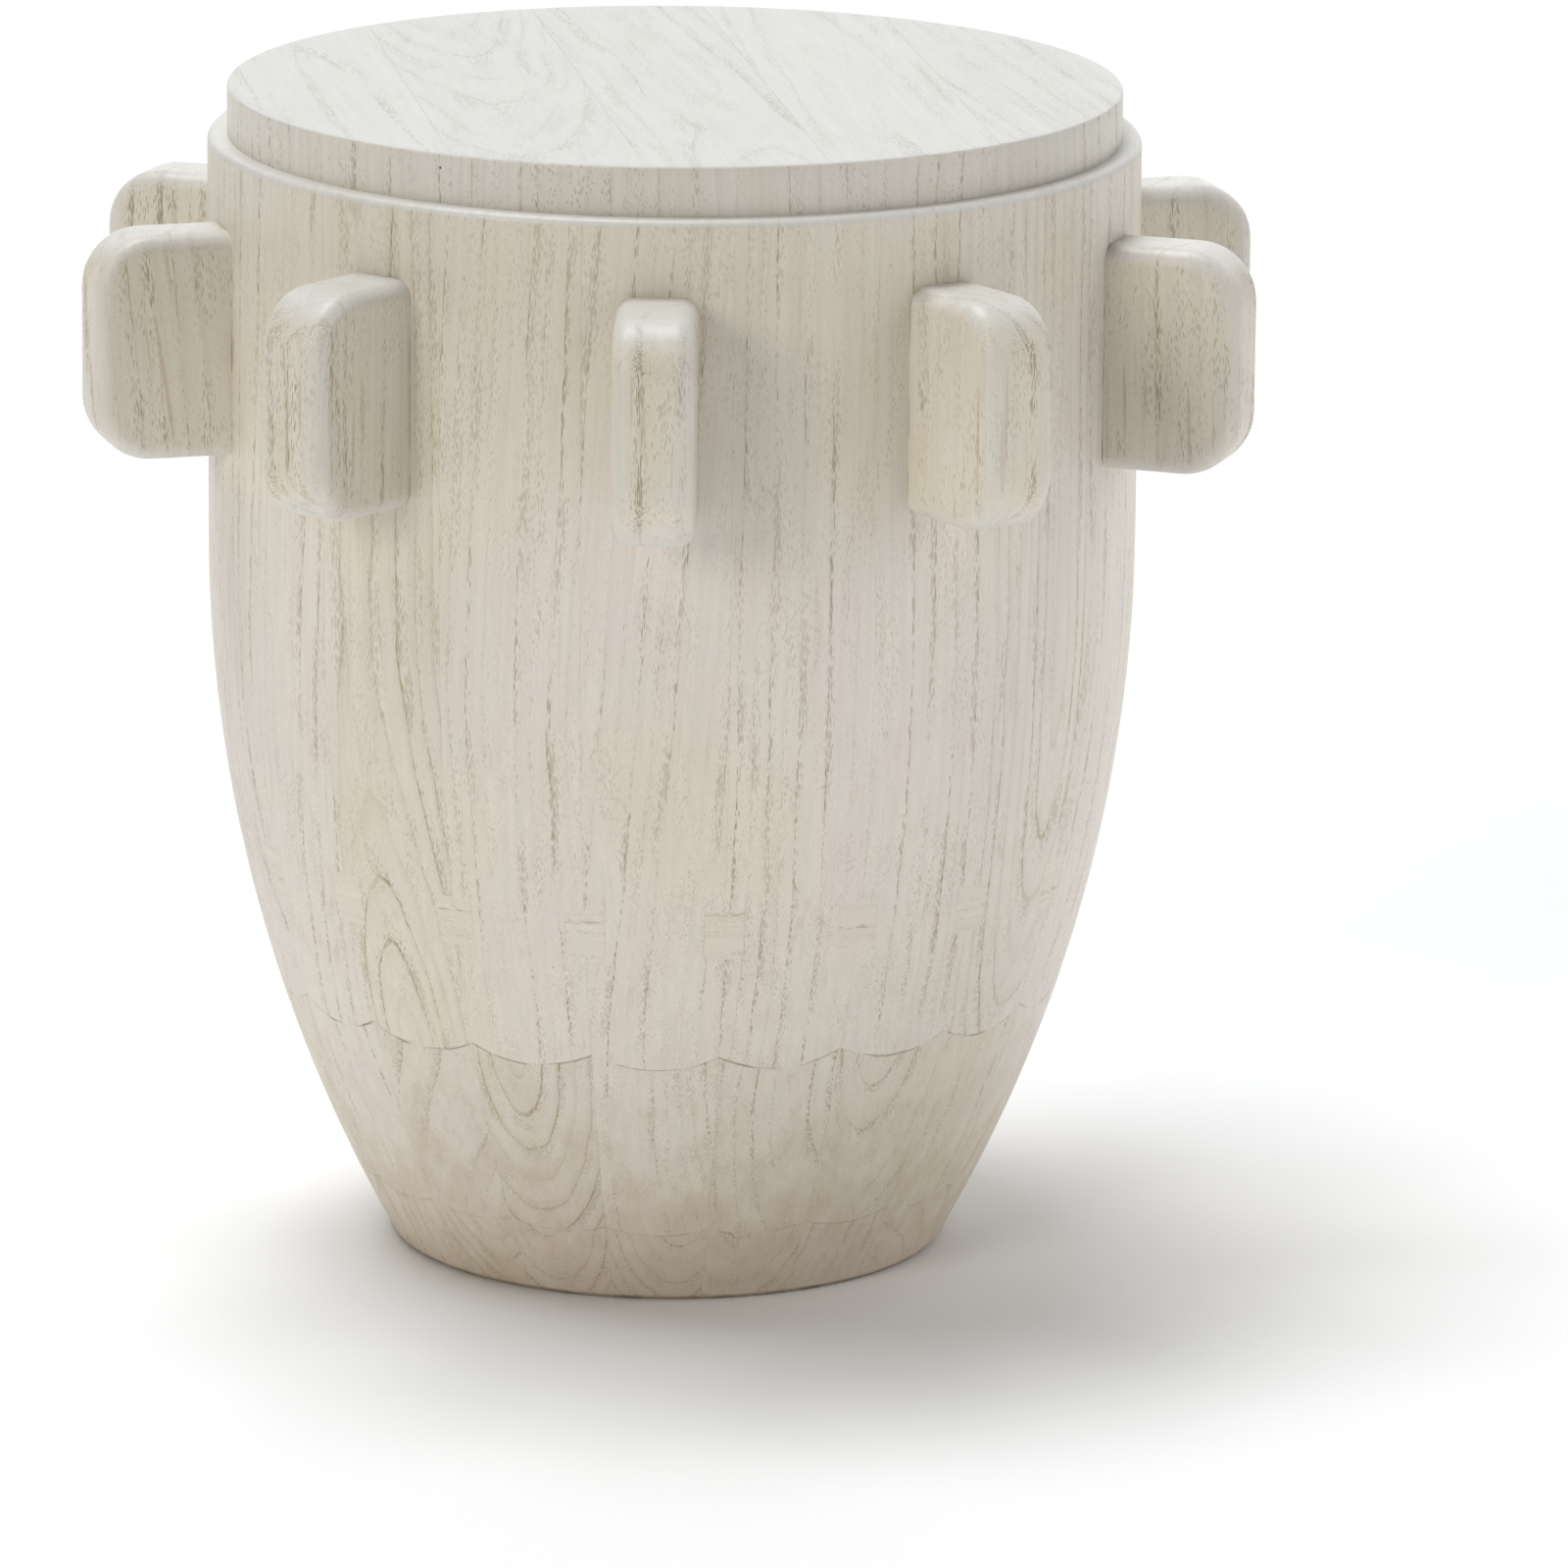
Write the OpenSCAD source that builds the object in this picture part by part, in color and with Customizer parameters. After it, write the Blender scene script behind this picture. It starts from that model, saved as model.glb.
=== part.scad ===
// Wooden drum stool: a coopered drum of turned staves with a ring of radial fins and a set-in top.
// Millimetres, +Z up. The origin is on the floor, on the drum's axis. Stave 1 and fin 1 face -Y.

/* [Drum] */
// Height of the whole stool, from the floor to its top face
overall_h = 450; // [430:5:470]
// Radius of the drum at its widest
belly_r = 177.5; // [165:0.5:190]
// Height at which the long sweep of the side ends and the straight part begins
belly_z = 275; // [260:5:300]
// How far the side draws in from the belly to the floor
foot_in = 71.5; // [62:0.5:76]
// Number of staves round the drum, with a fin on every second one
stave_count = 20; // [16:2:20]
// Thickness of a stave at the belly, from its flat inner face
stave_t = 27; // [25:0.5:29]
// Rounding of the drum's upper edge
rim_round = 3; // [1:0.5:4]
// Bevel of the drum's lower edge
foot_bevel = 1.5; // [0.5:0.5:3]

/* [Foot lining] */
// Thickness of each layer of blocks glued inside the foot
lining_t = 29; // [27:0.5:30]
// Height of the outer layer of blocks
lining_h = 190; // [170:5:230]
// Height of the inner layer of blocks
inner_lining_h = 110; // [90:5:140]
// Bevel along the upper inner edge of the blocks
lining_bevel = 3; // [1:0.5:5]

/* [Top] */
// Width of the drum's rim that shows round the disc
ledge_w = 7.5; // [5.5:0.5:9.5]
// Height of the disc above the drum's rim
top_rise = 18.5; // [16:0.5:24]
// Depth of the spigot that drops inside the staves
spigot_h = 11.5; // [8:0.5:16]
// Number of boards glued edge to edge
board_count = 5; // [4:1:6]
// Angle of the boards' grain from the front to back direction
board_turn = 10; // [-20:2:20]
// Bevel of the disc's upper edge
top_bevel = 1; // [0.5:0.5:3]

/* [Fins] */
// How far a fin stands out from the drum
fin_out = 51.5; // [40:0.5:62]
// Height of a fin
fin_h = 86; // [75:1:95]
// Distance from the drum's rim down to the top of the fins
fin_drop = 28.5; // [20:0.5:40]
// Thickness of a fin
fin_t = 30; // [26:1:34]
// Radius of a fin's two outer corners, seen from its side
fin_corner_r = 22; // [16:1:28]
// Rounding along a fin's outer edges
fin_edge_r = 6.5; // [4:0.5:9]

/* [Splines and dowels] */
// Thickness of the spline in each stave joint
spline_t = 4; // [3:0.5:6]
// Width of the spline, half of it in each stave
spline_w = 15; // [10:1:18]
// Distance from a stave's flat inner face to the middle of the spline
spline_in = 14.8; // [12:0.1:17]
// Diameter of a fin's dowels
fin_dowel_d = 10; // [8:0.5:12]
// Depth of a fin's dowels in the stave
fin_dowel_sink = 19; // [14:1:20]
// Depth of a fin's dowels in the fin
fin_dowel_grip = 30; // [20:1:34]
// Distance between a fin's two dowels
fin_dowel_pitch = 44; // [36:1:50]
// Diameter of the dowels under the top
top_dowel_d = 8; // [6:0.5:10]
// Distance from a stave's flat inner face to the dowels under the top
top_dowel_in = 9.5; // [8:0.5:11]
// Depth of these dowels in the top
top_dowel_grip = 12; // [8:0.5:13]
// Depth of these dowels in the stave
top_dowel_sink = 24; // [18:1:28]

/* [Fits] */
// Play round a dowel or spline in its hole or groove
glue_play = 0.1; // [0.05:0.05:0.2]
// Room for glue past the end of a dowel
glue_room = 1; // [0.5:0.25:2]
// Play between the top's spigot and the flat faces of the staves
spigot_play = 0.5; // [0.3:0.1:1]
// Thickness of the glue between two blocks of the inner layer
glue_line = 0.1; // [0.05:0.05:0.2]

/* [Hidden] */
stave_angle = 360 / stave_count;
fin_count = stave_count / 2;
rim_z = overall_h - top_rise;
foot_r = belly_r - foot_in;
sweep_r = (belly_z * belly_z + foot_in * foot_in) / (2 * foot_in);
stave_flat_r = belly_r - stave_t;
lining_flat_r = stave_flat_r - lining_t;
inner_flat_r = lining_flat_r - lining_t;
spline_r = stave_flat_r + spline_in;
top_dowel_r = stave_flat_r + top_dowel_in;
top_r = belly_r - ledge_w;
spigot_r = stave_flat_r - spigot_play;
board_w = 2 * top_r / board_count;
fin_tip_r = belly_r + fin_out;
fin_low_z = rim_z - fin_drop - fin_h;
fin_mid_z = fin_low_z + fin_h / 2;
fin_straight_r = fin_tip_r - fin_corner_r;
dowel_bevel = 1;
cut = 1;
past_tip = 2 * fin_tip_r;
pale_wood = [0.86, 0.83, 0.77];
warm_wood = [0.83, 0.79, 0.71];
grey_wood = [0.80, 0.77, 0.72];
raw_wood = [0.74, 0.63, 0.47];

// Two digits for the number of a repeated piece
function two_digits(i) = str(i < 10 ? "0" : "", i);

// The turned outline of the drum, as half a section: a long arc up to the belly, then straight
module drum_outline() {
    translate([0, belly_z]) square([belly_r, rim_z - rim_round - belly_z]);
    translate([0, belly_z]) square([belly_r - rim_round, rim_z - belly_z]);
    translate([belly_r - rim_round, rim_z - rim_round]) circle(r = rim_round, $fn = 48);
    intersection() {
        square([belly_r, belly_z]);
        translate([belly_r - sweep_r, belly_z]) circle(r = sweep_r, $fn = 720);
        polygon([
            [0, 0],
            [foot_r - foot_bevel, 0],
            [foot_r - foot_bevel + belly_z, belly_z],
            [0, belly_z]
        ]);
    }
}

// Everything inside the turned surface
module turned_drum() {
    rotate_extrude($fn = 180) drum_outline();
}

// Turns a piece that lies along +X to its place among `count` pieces, the first one facing -Y
module at_place(i, count) {
    rotate([0, 0, (i - 1) * 360 / count - 90]) children();
}

// A board as it is glued in: from one flat face out to another, with mitred sides. With a gap,
// each side stands back by half of it.
module mitred_board(flat_r, outer_r, h, gap = 0) {
    side = tan(stave_angle / 2);
    back = gap / 2 / cos(stave_angle / 2);
    linear_extrude(height = h) polygon([
        [flat_r, back - flat_r * side],
        [outer_r, back - outer_r * side],
        [outer_r, outer_r * side - back],
        [flat_r, flat_r * side - back]
    ]);
}

// The strip in one joint, or with play the groove for it, standing across +X
module spline_strip(play) {
    translate([spline_r - spline_t / 2 - play, -spline_w / 2 - play, 0])
        cube([spline_t + 2 * play, spline_w + 2 * play, rim_z]);
}

// A dowel with bevelled ends, or with play and room its hole, from the origin along +Z
module dowel(d, h, play = 0, room = 0) {
    r = d / 2 + play;
    if (play > 0) {
        translate([0, 0, -room]) cylinder(r = r, h = h + 2 * room, $fn = 32);
    } else {
        cylinder(r1 = r - dowel_bevel, r2 = r, h = dowel_bevel, $fn = 32);
        translate([0, 0, dowel_bevel]) cylinder(r = r, h = h - 2 * dowel_bevel, $fn = 32);
        translate([0, 0, h - dowel_bevel]) cylinder(r1 = r, r2 = r - dowel_bevel, h = dowel_bevel, $fn = 32);
    }
}

// The two dowels of a fin that lies along +X, or their holes
module fin_dowel_pair(play = 0, room = 0) {
    for (side = [-1, 1])
        translate([belly_r - fin_dowel_sink, 0, fin_mid_z + side * fin_dowel_pitch / 2])
            rotate([0, 90, 0])
                dowel(fin_dowel_d, fin_dowel_sink + fin_dowel_grip, play, room);
}

// The dowel between one stave along +X and the top, or its hole
module top_dowel(play = 0, room = 0) {
    translate([top_dowel_r, 0, rim_z - top_dowel_sink])
        dowel(top_dowel_d, top_dowel_sink + top_dowel_grip, play, room);
}

// One stave: a board turned on its outside, grooved on both sides. It thins out to nothing at its
// foot, where the turned surface passes through its flat inner face and leaves a scalloped edge.
module stave(i) {
    at_place(i, stave_count) difference() {
        intersection() {
            turned_drum();
            mitred_board(stave_flat_r, past_tip, rim_z);
        }
        for (side = [-1, 1])
            rotate([0, 0, side * stave_angle / 2]) spline_strip(glue_play);
        if (i % 2 == 1)
            fin_dowel_pair(glue_play, glue_room);
        else
            top_dowel(glue_play, glue_room);
    }
}

// One block of a lining layer, between two flat faces, turned where it comes through the outside
module lining_block(i, flat_r, outer_r, h, gap = 0) {
    at_place(i, stave_count) difference() {
        intersection() {
            turned_drum();
            mitred_board(flat_r, outer_r, h, gap);
        }
        translate([flat_r, 0, h - lining_bevel])
            rotate([0, -45, 0])
                translate([-2 * lining_bevel, -outer_r / 2, 0])
                    cube([4 * lining_bevel, outer_r, 2 * lining_bevel]);
    }
}

module foot_block(i) {
    lining_block(i, lining_flat_r, stave_flat_r, lining_h);
}

module inner_foot_blocks() {
    for (i = [1:stave_count])
        lining_block(i, inner_flat_r, lining_flat_r, inner_lining_h, glue_line);
}

// The strips that lock the stave joints, turned flush where the surface reaches them
module stave_splines() {
    for (i = [1:stave_count])
        at_place(i, stave_count) rotate([0, 0, stave_angle / 2]) intersection() {
            turned_drum();
            spline_strip(0);
        }
}

// Half of a fin's section: flat sides, with the outer edge rounded, reaching `reach` along +X
module fin_section(reach) {
    half = fin_t / 2;
    translate([0, -half]) square([reach - fin_edge_r, fin_t]);
    translate([0, fin_edge_r - half]) square([reach, fin_t - 2 * fin_edge_r]);
    for (side = [-1, 1])
        translate([reach - fin_edge_r, side * (half - fin_edge_r)]) circle(r = fin_edge_r, $fn = 48);
}

// One outer corner of a fin: the rounded section swept through a quarter turn about its own corner
module fin_corner() {
    rotate([90, 0, 0]) rotate_extrude(angle = 90, $fn = 96) fin_section(fin_corner_r);
}

// A radial block with a rounded tip, coped to sit against the drum
module fin(i) {
    low = fin_low_z + fin_corner_r;
    high = fin_low_z + fin_h - fin_corner_r;
    at_place(i, fin_count) difference() {
        union() {
            translate([fin_straight_r, 0, low]) linear_extrude(height = high - low) fin_section(fin_corner_r);
            translate([fin_straight_r, 0, high]) fin_corner();
            translate([fin_straight_r, 0, low]) mirror([0, 0, 1]) fin_corner();
            translate([0, -fin_t / 2, low]) cube([fin_straight_r, fin_t, high - low]);
            translate([0, 0, high]) rotate([0, 90, 0]) rotate([0, 0, 180])
                linear_extrude(height = fin_straight_r) fin_section(fin_corner_r);
            translate([0, 0, low]) rotate([0, 90, 0])
                linear_extrude(height = fin_straight_r) fin_section(fin_corner_r);
        }
        turned_drum();
        fin_dowel_pair(glue_play, glue_room);
    }
}

module fin_dowels() {
    for (i = [1:fin_count])
        at_place(i, fin_count) fin_dowel_pair();
}

// The turned outline of the top, as half a section: a disc with a spigot under it
module top_outline() {
    polygon([
        [0, rim_z - spigot_h],
        [spigot_r, rim_z - spigot_h],
        [spigot_r, rim_z],
        [top_r, rim_z],
        [top_r, overall_h - top_bevel],
        [top_r - top_bevel, overall_h],
        [0, overall_h]
    ]);
}

// One board of the top, cut from the turned disc, with the holes for the dowels under it
module top_board(i) {
    near = i == 1 ? -past_tip : -top_r + (i - 1) * board_w;
    far = i == board_count ? past_tip : -top_r + i * board_w;
    difference() {
        intersection() {
            rotate_extrude($fn = 360) top_outline();
            rotate([0, 0, board_turn])
                translate([near, -past_tip, 0]) cube([far - near, 2 * past_tip, overall_h + cut]);
        }
        for (k = [2:2:stave_count])
            at_place(k, stave_count) top_dowel(glue_play, glue_room);
    }
}

module top_dowels() {
    for (k = [2:2:stave_count])
        at_place(k, stave_count) top_dowel();
}

for (i = [1:stave_count])
    color(i % 3 == 0 ? warm_wood : pale_wood) stave(i);
for (i = [1:stave_count])
    color(i % 2 == 0 ? grey_wood : warm_wood) foot_block(i);
color(grey_wood) inner_foot_blocks();
color(raw_wood) stave_splines();
for (i = [1:fin_count])
    color(pale_wood) fin(i);
color(raw_wood) fin_dowels();
for (i = [1:board_count])
    color(pale_wood) top_board(i);
color(raw_wood) top_dowels();
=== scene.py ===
# %% [markdown]
# # A whitewashed drum stool
#
# A cooper and a turner made this hard stool. Twenty mitred staves are glued into a drum, two layers of
# blocks line its narrow foot, ten fins stand round it, and a flat top is let in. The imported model
# gives the construction and never moves. This script dresses it: every board gets a fine mesh, cut
# from the same outline, and a wood that is worked out in 3-D.

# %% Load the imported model
import random
from math import atan2, cos, exp, hypot, pi, radians, sin, sqrt, tan
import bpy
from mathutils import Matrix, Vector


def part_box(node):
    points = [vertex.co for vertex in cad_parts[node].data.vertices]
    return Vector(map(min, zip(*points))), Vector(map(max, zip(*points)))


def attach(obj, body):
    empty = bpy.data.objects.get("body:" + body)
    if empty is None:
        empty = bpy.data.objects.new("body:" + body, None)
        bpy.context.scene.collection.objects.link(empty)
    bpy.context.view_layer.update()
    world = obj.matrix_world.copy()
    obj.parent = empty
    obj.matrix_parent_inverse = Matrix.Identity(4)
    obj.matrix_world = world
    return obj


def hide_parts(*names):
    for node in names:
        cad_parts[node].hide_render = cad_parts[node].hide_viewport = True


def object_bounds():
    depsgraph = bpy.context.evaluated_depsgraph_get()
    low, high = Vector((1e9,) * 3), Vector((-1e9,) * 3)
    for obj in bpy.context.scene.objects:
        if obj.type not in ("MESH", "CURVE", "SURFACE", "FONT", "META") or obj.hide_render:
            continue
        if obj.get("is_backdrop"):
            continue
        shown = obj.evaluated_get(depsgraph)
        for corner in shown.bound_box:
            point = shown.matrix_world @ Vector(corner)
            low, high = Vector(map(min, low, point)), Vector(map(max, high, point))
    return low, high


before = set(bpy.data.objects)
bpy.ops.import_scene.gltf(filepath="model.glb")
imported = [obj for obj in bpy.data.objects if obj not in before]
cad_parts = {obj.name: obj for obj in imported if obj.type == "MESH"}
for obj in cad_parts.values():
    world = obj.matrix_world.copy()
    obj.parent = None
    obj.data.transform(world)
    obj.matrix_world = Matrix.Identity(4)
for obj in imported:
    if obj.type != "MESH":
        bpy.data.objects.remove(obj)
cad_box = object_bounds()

from types import SimpleNamespace

import bmesh
import bpy
import numpy as np
from mathutils import Matrix, Vector

print("nodes in the packed model:", len(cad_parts))

# %% [markdown]
# ## Sizes from the model
#
# A dressed piece has to lie exactly where its solid lies. Sizes typed in again could drift away from
# the model's, so each is read from the box of a node. Stave 1, foot block 1 and fin 1 face -Y, and
# their boxes give radii directly. Only the long arc of the side has no box: it is set by the height of
# the belly and by how far the foot draws in.

# %% Read the sizes
MM = 0.001
STAVES = 20
TURN = 2 * pi / STAVES

low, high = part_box("stave_01")
BELLY_R = -low.y
STAVE_FLAT = -high.y
RIM_Z = high.z
low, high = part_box("foot_block_01")
LINING_FLAT = -high.y
LINING_H = high.z
INNER_FLAT = 2 * LINING_FLAT - STAVE_FLAT
INNER_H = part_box("inner_foot_blocks")[1].z
low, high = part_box("top_board_3")
TOP_R = high.y
TOP_Z = high.z
SPIGOT_Z = low.z
BELLY_Z = 275 * MM
FOOT_IN = 71.5 * MM
print("belly radius", round(BELLY_R, 4), "rim height", round(RIM_Z, 4), "top radius", round(TOP_R, 4))

# %% [markdown]
# ## The outline
#
# A turner follows a template. Here it is one arc from the foot up to the belly and a straight line
# above it. Two functions give the radius at a height and the height at a radius. All the turned pieces
# use them, so their surfaces run through each other without a step.

# %% Turned outline
SWEEP_R = (BELLY_Z ** 2 + FOOT_IN ** 2) / (2 * FOOT_IN)


def drum_radius(z):
    """Radius of the turned side at height z."""
    if z >= BELLY_Z:
        return BELLY_R
    return BELLY_R - SWEEP_R + sqrt(SWEEP_R ** 2 - (BELLY_Z - z) ** 2)


def height_at(radius):
    """Height at which the turned side has this radius, below the belly."""
    return BELLY_Z - sqrt(SWEEP_R ** 2 - (SWEEP_R - BELLY_R + radius) ** 2)


def seam_height(flat, side):
    """Height at which the turned side cuts a flat face, `side` radians from the middle of a board."""
    return height_at(flat / cos(side))


print("the first seam is lowest at", round(seam_height(STAVE_FLAT, 0), 4), "m")

# %% [markdown]
# ## Camera
#
# The photo was taken from far away with a long lens, a little above the rim. A camera can be placed by
# eye, but the ellipses of the rim and the foot and the places of the fins fix it much more exactly.
# The result is written as a turn about the drum, a place and three small angles.

# %% Camera
CAMERA_TURN = radians(1.9)
CAMERA_PLACE = (0, -4.033, 1.190)
YAW, PITCH, ROLL = radians(0.623), radians(-14.113), radians(0.559)


def put(name, data):
    """A new object in the scene."""
    thing = bpy.data.objects.new(name, data)
    bpy.context.scene.collection.objects.link(thing)
    return thing


lens = bpy.data.cameras.new("camera")
lens.lens = 247.5
lens.sensor_width = 36
lens.clip_end = 100
camera = put("camera", lens)
stand = Matrix.Rotation(CAMERA_TURN, 4, "Z") @ Matrix.Translation(CAMERA_PLACE)
aim = Matrix.Rotation(-YAW, 4, "Z") @ Matrix.Rotation(pi / 2 + PITCH, 4, "X")
camera.matrix_world = stand @ aim @ Matrix.Rotation(ROLL, 4, "Z")
bpy.context.scene.camera = camera
bpy.context.scene.view_settings.view_transform = "Standard"
print("camera at", [round(n, 3) for n in camera.matrix_world.translation])

# %% [markdown]
# ## Light
#
# The tops of the fins are bright, the floor in front of the foot is dark, and each fin shades the side
# to its right. So most of the light comes from high up and a little behind, the rest from the left and
# low from the right. An area lamp would fall off across the floor. A sun lamp with a wide disc acts
# like a big soft box far away, as strong at the back as at the front.

# %% Lamps
COOL = (0.965, 1.0, 1.035)
SUNNY = (1.02, 1.0, 0.95)


def soft_sun(name, azimuth, elevation, disc, strength, colour=(1, 1, 1)):
    """A broad lamp far away. Azimuth 0 is the camera's side and positive is to the right, in degrees."""
    data = bpy.data.lights.new(name, "SUN")
    data.angle = radians(disc)
    data.energy = strength
    data.color = colour
    lamp = put(name, data)
    lamp.rotation_euler = (radians(90 - elevation), 0, radians(azimuth))
    return lamp


lamps = [
    soft_sun("over_the_back", -165, 76, 18, 0.84),
    soft_sun("back_left", -154, 62, 40, 0.37, COOL),
    soft_sun("high_left", -100, 70, 30, 1.42, COOL),
    soft_sun("front_left", -38, 19, 26, 0.99, SUNNY),
    soft_sun("low_right", 70, 15, 60, 0.99, (0.99, 1.0, 1.03)),
    soft_sun("back_right", 125, 25, 50, 0.54),
    soft_sun("white_wall", 180, 14, 60, 1.08, COOL),
]
world = bpy.data.worlds.new("room")
bpy.context.scene.world = world
world.use_nodes = True
background = world.node_tree.nodes["Background"]
background.inputs["Color"].default_value = (1, 1, 1, 1)
background.inputs["Strength"].default_value = 0.01
print("lamps:", [lamp.name for lamp in lamps])

# %% [markdown]
# ## Floor
#
# The stool stands on a plain pale floor that runs out of the picture with no horizon. One very large
# sheet does that. It is declared as stage, so it doesn't count as part of the object.

# %% Floor
FLOOR_HALF = 12


def new_material(name):
    """A material, and the shader in it."""
    material = bpy.data.materials.new(name)
    material.use_nodes = True
    return material, material.node_tree.nodes["Principled BSDF"]


floor_paint, shader = new_material("floor_paint")
shader.inputs["Base Color"].default_value = (0.912, 0.905, 0.898, 1)
shader.inputs["Roughness"].default_value = 0.7
sheet = bpy.data.meshes.new("floor")
corners = [(x * FLOOR_HALF, y * FLOOR_HALF, 0) for x, y in ((-1, -1), (1, -1), (1, 1), (-1, 1))]
sheet.from_pydata(corners, [], [(0, 1, 2, 3)])
sheet.materials.append(floor_paint)
put("floor", sheet)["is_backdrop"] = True
print("floor:", 2 * FLOOR_HALF, "m wide")

# %% [markdown]
# ## Wood as a solid
#
# Real grain runs through the board, so a surface that is turned cuts the growth rings into arcs and
# long U shapes. A flat pattern laid on the outside can't do that. Here each vertex carries its place
# in the log that its board was sawn from, in millimetres, and the shader finds the rings as distances
# from the log's heart. That takes many nodes. So the output of a node is wrapped as a `Field`, and a
# sum, difference, product or quotient of fields adds its own Math node.

# %% Fields and nodes
class Field:
    """A value that differs from point to point: one output of a shader node."""

    def __init__(self, socket):
        self.socket = socket
        self.tree = socket.id_data

    def __add__(self, other):
        return calc("ADD", self, other)

    def __sub__(self, other):
        return calc("SUBTRACT", self, other)

    def __mul__(self, other):
        return calc("MULTIPLY", self, other)

    def __truediv__(self, other):
        return calc("DIVIDE", self, other)


def feed(socket, value):
    """Links a field to a socket, or sets the socket's own number."""
    if isinstance(value, Field):
        value.tree.links.new(value.socket, socket)
    else:
        socket.default_value = value


def add(tree, kind, settings=None, **inputs):
    """Adds a shader node. Inputs are named by their socket, and take a number or a field."""
    node = tree.nodes.new(kind)
    for key, value in (settings or {}).items():
        setattr(node, key, value)
    for name, value in inputs.items():
        feed(node.inputs[name], value)
    return node


def calc(operation, *values):
    """The result of one Math node. At least one of its values is a field."""
    tree = next(value.tree for value in values if isinstance(value, Field))
    node = add(tree, "ShaderNodeMath", {"operation": operation})
    for socket, value in zip(node.inputs, values):
        feed(socket, value)
    return Field(node.outputs[0])


def split(vector):
    """The three numbers of a vector."""
    return [Field(out) for out in add(vector.tree, "ShaderNodeSeparateXYZ", Vector=vector).outputs]


print("node helpers:", [helper.__name__ for helper in (feed, add, calc, split)])

# %% [markdown]
# Wood is much finer across the grain than along it. So every noise in it is stretched: its place is
# divided by one size across the grain and another along it, both in real millimetres. That way each
# pair of sizes below can be compared with a ruler laid on a board.

# %% Helpers for noise and colour
def stretch(place, across, along):
    """A place in the log, divided by the sizes of a grain across and along the wood."""
    node = add(place.tree, "ShaderNodeVectorMath", {"operation": "MULTIPLY"})
    feed(node.inputs[0], place)
    node.inputs[1].default_value = (1 / across, 1 / across, 1 / along)
    return Field(node.outputs[0])


def cloud(place, across, along, detail=2.0, roughness=0.5):
    """Smooth noise about 0.5."""
    node = add(place.tree, "ShaderNodeTexNoise", Scale=1.0, Detail=detail, Roughness=roughness)
    feed(node.inputs["Vector"], stretch(place, across, along))
    return Field(node.outputs["Fac"])


def cells(place, across, along):
    """Distance from the nearest of many scattered points, in cells of this size."""
    node = add(place.tree, "ShaderNodeTexVoronoi", {"feature": "F1"}, Scale=1.0)
    feed(node.inputs["Vector"], stretch(place, across, along))
    return Field(node.outputs["Distance"])


def ramp(value, start, end, low=0.0, high=1.0):
    """Goes smoothly from low to high as value goes from start to end."""
    node = add(value.tree, "ShaderNodeMapRange", {"interpolation_type": "SMOOTHSTEP"}, Value=value)
    for name, number in (("From Min", start), ("From Max", end), ("To Min", low), ("To Max", high)):
        node.inputs[name].default_value = number
    return Field(node.outputs["Result"])


def blend_colour(share, one, other):
    """Mixes two colours, each a field or three numbers."""
    node = add(share.tree, "ShaderNodeMix", {"data_type": "RGBA"}, Factor=share)
    for socket, value in ((node.inputs[6], one), (node.inputs[7], other)):
        feed(socket, value if isinstance(value, Field) else (*value, 1))
    return Field(node.outputs[2])


print("noise helpers:", [helper.__name__ for helper in (stretch, cloud, cells, ramp, blend_colour)])

# %% [markdown]
# ## Colours of the whitewash
#
# The finish is a thin white stain over an open, ring-porous wood. It fills the pale wood between the
# rings, leaves pores and ring lines tan, and lies thicker on rounded edges. There a cooler white hides
# the grain, partly as the thicker coat and partly as a painted sheen and highlight. One colour with
# noise on it would look like plastic. So each layer has a colour of its own, in linear light, and
# they are mixed in the order in which they lie on the wood.

# %% Whitewash colours
PALE = (0.700, 0.652, 0.574)
CREAM = (0.676, 0.620, 0.500)
ROSY = (0.690, 0.626, 0.572)
# A cooler white: the thick coat on the rounds, which also serves as a painted sheen.
THICK_COAT_AND_SHEEN = (0.630, 0.624, 0.594)
LINE_TAN = (0.385, 0.305, 0.165)
LATE_TAN = (0.520, 0.445, 0.315)
PORE_TAN = (0.300, 0.235, 0.125)
RUST = (0.430, 0.260, 0.150)
# The dark colour of dust in the glue lines, also used for painted shade in the pin hole and at the foot.
DUST_AND_SHADE = (0.190, 0.135, 0.075)
# The foot's brown, which near the floor also serves as painted shade.
FOOT_BROWN_AND_SHADE = (0.500, 0.380, 0.240)
print("thin stain", PALE, "thick coat", THICK_COAT_AND_SHEEN)

# %% [markdown]
# ## Marks on the mesh
#
# A shader can't know which board a point belongs to, or how far the next glue line is. A painted map
# could tell it, but numbers on the vertices are exact at any distance, and turn with the board. `log`
# is the place in the log, `lines` holds the millimetres to the scalloped seam, those to the upright
# joint and the thickness of the coat with its painted sheen, `board` holds the board's tint, shade and
# ring width, and `figure` says how clearly its rings show. `Marks` reads them back as fields.

# %% Read the marks in a shader
class Marks:
    """What every vertex carries, in a material's node tree."""

    def __init__(self, tree):
        def read(name, output="Vector"):
            return Field(add(tree, "ShaderNodeAttribute", {"attribute_name": name}).outputs[output])

        self.log = read("log")
        self.figure = read("figure", "Fac")
        self.seam, self.joint, self.coat_and_sheen = split(read("lines"))
        self.tint, self.shade, self.ring = split(read("board"))
        self.spot = Field(add(tree, "ShaderNodeTexCoord").outputs["Object"])
        self.height = split(self.spot)[2]


print("marks read: log, lines, board and figure")

# %% [markdown]
# ## Growth rings
#
# A ring is a tube round the heart of the log, a little out of true. A wave texture can draw rings, but
# all of them equally strong. So the distance from the heart is pushed about by slow noise and counted
# in ring widths. `off` says where a point lies between two rings, from -0.5 to 0.5. `clear` gives each
# ring its own strength, since good and bad years leave strong and weak lines, and `strength` lets it
# fade in and out along the board.

# %% Growth rings
WANDER = 7.0
RIPPLE = 1.5


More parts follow.
